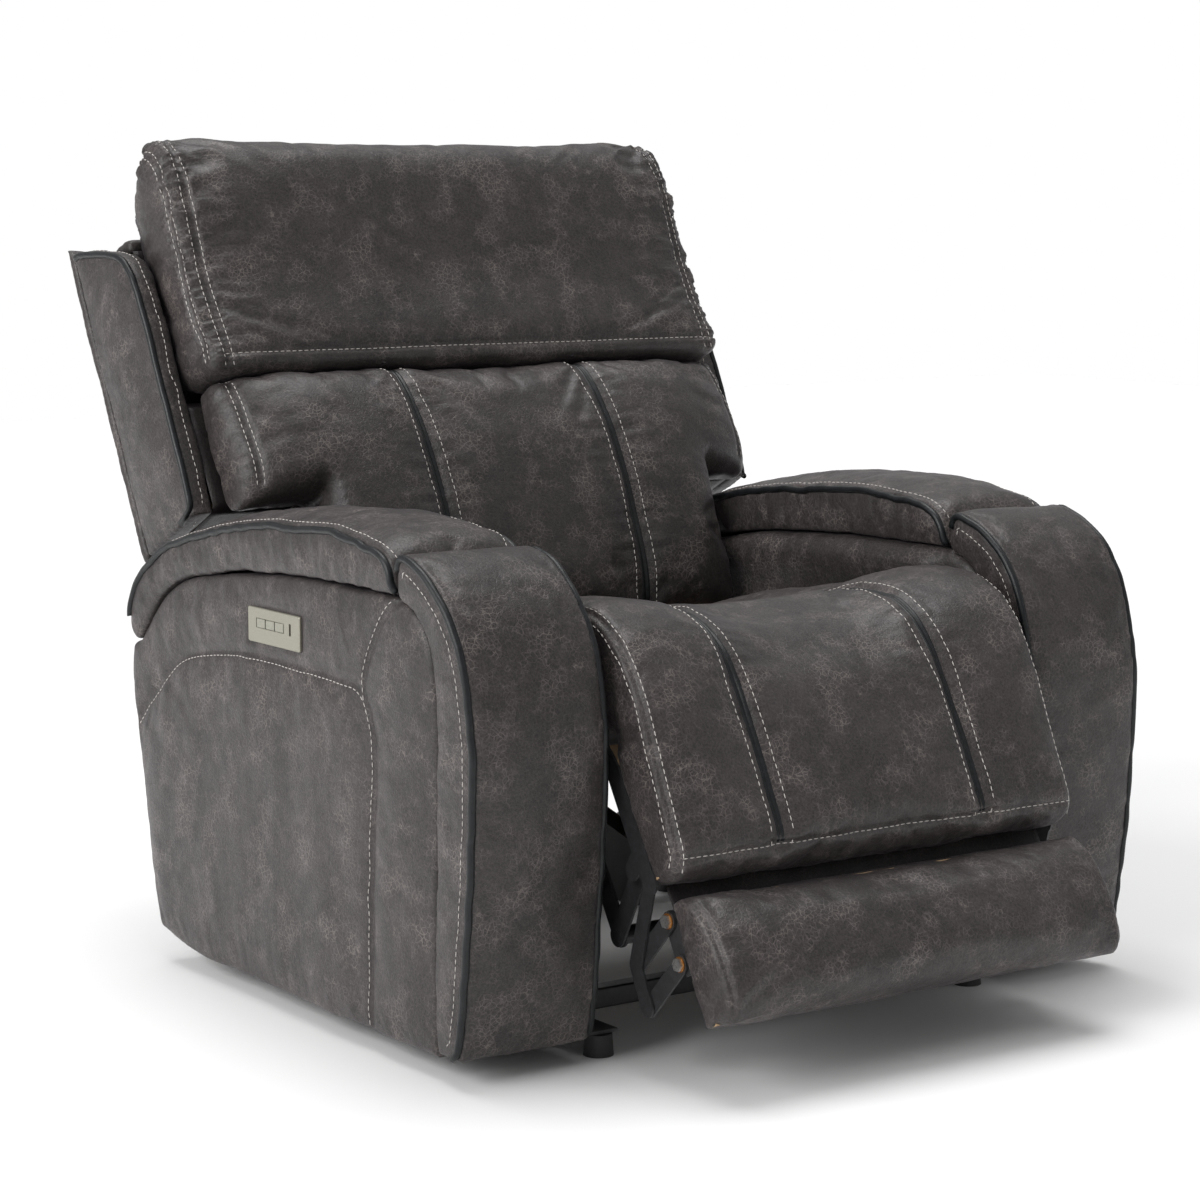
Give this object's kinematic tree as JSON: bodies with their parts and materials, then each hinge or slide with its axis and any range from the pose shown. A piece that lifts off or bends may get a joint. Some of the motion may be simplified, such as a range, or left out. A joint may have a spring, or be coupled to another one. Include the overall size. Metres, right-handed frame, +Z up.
{
  "type": "power recliner armchair",
  "caption": "Power recliner armchair with padded arms, a leg rest and foot rest on a steel linkage, a reclining back and a tilting headrest.",
  "frame": {"origin": "on the floor, under the middle of the chair's box in its rest pose (leg rest partly open, back partly reclined)", "axes": "+Z up, -Y out of the front of the seat, +X to the sitter's left, across the seat"},
  "size_m": [1.0004, 1.3116, 1.0758],
  "materials": {
    "upholstery": "satin",
    "lining": "matte",
    "welt": "satin",
    "thread": "satin",
    "board": "matte",
    "spring_steel": "satin",
    "black_steel": "satin",
    "zinc": "satin",
    "bronze": "satin",
    "switch_metal": "satin",
    "button": "satin",
    "black_plastic": "matte"
  },
  "bodies": {
    "base": {"arm_boards": "board", "arm_inner_sides": "upholstery", "arm_outer_side_right": "upholstery", "arm_outer_side_left": "upholstery", "arm_pad_right": "upholstery", "arm_pad_left": "upholstery", "arm_front_right": "upholstery", "arm_front_left": "upholstery", "switch_plate": "switch_metal", "switch_module": "black_plastic", "usb_tongue": "black_plastic", "seat_cushion": "upholstery", "seat_rails": "board", "seat_springs": "spring_steel", "base_rails": "black_steel", "side_plates": "black_steel", "pivot_bolts": "zinc", "cross_bars": "black_steel", "motor_mounts": "black_steel", "feet": "black_plastic", "arm_mounts": "zinc", "power_inlet": "black_plastic"},
    "leg_rest": {"leg_pad": "upholstery", "leg_board": "board", "leg_flap": "lining", "leg_brackets": "black_steel"},
    "upper_foot_link": {"foot_links_upper": "black_steel"},
    "lower_foot_link": {"foot_links_lower": "black_steel"},
    "foot_rest": {"foot_brackets": "black_steel", "foot_washers": "bronze", "foot_bolts": "zinc", "foot_pad": "upholstery", "foot_board": "board"},
    "drive_arm": {"drive_arms": "black_steel", "cross_tube": "black_steel", "drive_crank": "black_steel"},
    "drive_link": {"drive_links": "black_steel"},
    "leg_motor": {"leg_motor_housing": "black_plastic"},
    "leg_motor_screw": {"leg_motor_rod": "zinc"},
    "back_motor": {"back_motor_housing": "black_plastic"},
    "back_motor_screw": {"back_motor_rod": "zinc"},
    "back": {"wings": "upholstery", "back_top_rail": "upholstery", "back_brackets": "black_steel", "back_lever_tube": "black_steel", "outside_back": "upholstery", "lower_back_panel": "upholstery", "back_posts": "board", "back_rails": "board", "back_springs": "spring_steel", "lumbar_cushion": "upholstery", "headrest_brackets": "black_steel", "headrest_rod": "zinc", "headrest_motor": "black_plastic"},
    "headrest": {"headrest_pillow": "upholstery", "headrest_board": "board", "headrest_arms": "black_steel"},
    "button_1": {"button_1": "button"},
    "button_2": {"button_2": "button"},
    "button_3": {"button_3": "button"}
  },
  "joints": [
    {"name": "leg_rest_lift", "type": "hinge", "parent": "base", "child": "leg_rest", "pos_m": [0, -0.3545, 0.415], "axis": [-1, 0, 0], "range_deg": [-25, 58]},
    {"name": "foot_link_swing", "type": "hinge", "parent": "leg_rest", "child": "upper_foot_link", "pos_m": [0, -0.4716, 0.1279], "axis": [-1, 0, 0], "range_deg": [-33, 14.5]},
    {"name": "lower_link_swing", "type": "hinge", "parent": "leg_rest", "child": "lower_foot_link", "pos_m": [0, -0.4943, 0.0833], "axis": [-1, 0, 0], "range_deg": [-33, 14.5]},
    {"name": "foot_rest_level", "type": "hinge", "parent": "upper_foot_link", "child": "foot_rest", "pos_m": [0, -0.5296, 0.1901], "axis": [-1, 0, 0], "range_deg": [-14.5, 33]},
    {"name": "drive_arm_swing", "type": "hinge", "parent": "base", "child": "drive_arm", "pos_m": [0, -0.3095, 0.328], "axis": [-1, 0, 0], "range_deg": [-26, 59]},
    {"name": "drive_link_swing", "type": "hinge", "parent": "drive_arm", "child": "drive_link", "pos_m": [0, -0.4195, 0.15], "axis": [-1, 0, 0], "range_deg": [-60, 26]},
    {"name": "leg_motor_pivot", "type": "hinge", "parent": "base", "child": "leg_motor", "pos_m": [0, 0.0295, 0.2], "axis": [1, 0, 0], "range_deg": [-5, 3]},
    {"name": "leg_motor_stroke", "type": "slide", "parent": "leg_motor", "child": "leg_motor_screw", "axis": [0, -0.9655, 0.2604], "range_m": [-0.012, 0.028]},
    {"name": "back_recline", "type": "hinge", "parent": "base", "child": "back", "pos_m": [0, 0.2155, 0.3], "axis": [-1, 0, 0], "range_deg": [-10, 32]},
    {"name": "back_motor_pivot", "type": "hinge", "parent": "base", "child": "back_motor", "pos_m": [0, -0.1825, 0.16], "axis": [1, 0, 0], "range_deg": [-2, 2]},
    {"name": "back_motor_stroke", "type": "slide", "parent": "back_motor", "child": "back_motor_screw", "axis": [0, 0.9699, 0.2436], "range_m": [-0.023, 0.008]},
    {"name": "headrest_tilt", "type": "hinge", "parent": "back", "child": "headrest", "pos_m": [0, 0.3225, 0.76749], "axis": [1, 0, 0], "range_deg": [0, 28]},
    {"name": "button_1_press", "type": "slide", "parent": "base", "child": "button_1", "axis": [1, 0, 0], "range_m": [0, 0.0015], "stiffness_N_per_m": 400},
    {"name": "button_2_press", "type": "slide", "parent": "base", "child": "button_2", "axis": [1, 0, 0], "range_m": [0, 0.0015], "stiffness_N_per_m": 400},
    {"name": "button_3_press", "type": "slide", "parent": "base", "child": "button_3", "axis": [1, 0, 0], "range_m": [0, 0.0015], "stiffness_N_per_m": 400}
  ],
  "couplings": [
    {"joint": "foot_link_swing", "follows": "leg_rest_lift", "ratio": -0.56},
    {"joint": "lower_link_swing", "follows": "leg_rest_lift", "ratio": -0.56},
    {"joint": "foot_rest_level", "follows": "leg_rest_lift", "ratio": 0.56},
    {"joint": "drive_arm_swing", "follows": "leg_rest_lift", "ratio": 1.004},
    {"joint": "drive_link_swing", "follows": "leg_rest_lift", "ratio": -1.02},
    {"joint": "leg_motor_pivot", "follows": "leg_rest_lift", "ratio": -0.0732},
    {"joint": "leg_motor_stroke", "follows": "leg_rest_lift", "m_per_rad": 0.0264},
    {"joint": "back_motor_pivot", "follows": "back_recline", "ratio": -0.0056},
    {"joint": "back_motor_stroke", "follows": "back_recline", "m_per_rad": -0.0396}
  ]
}
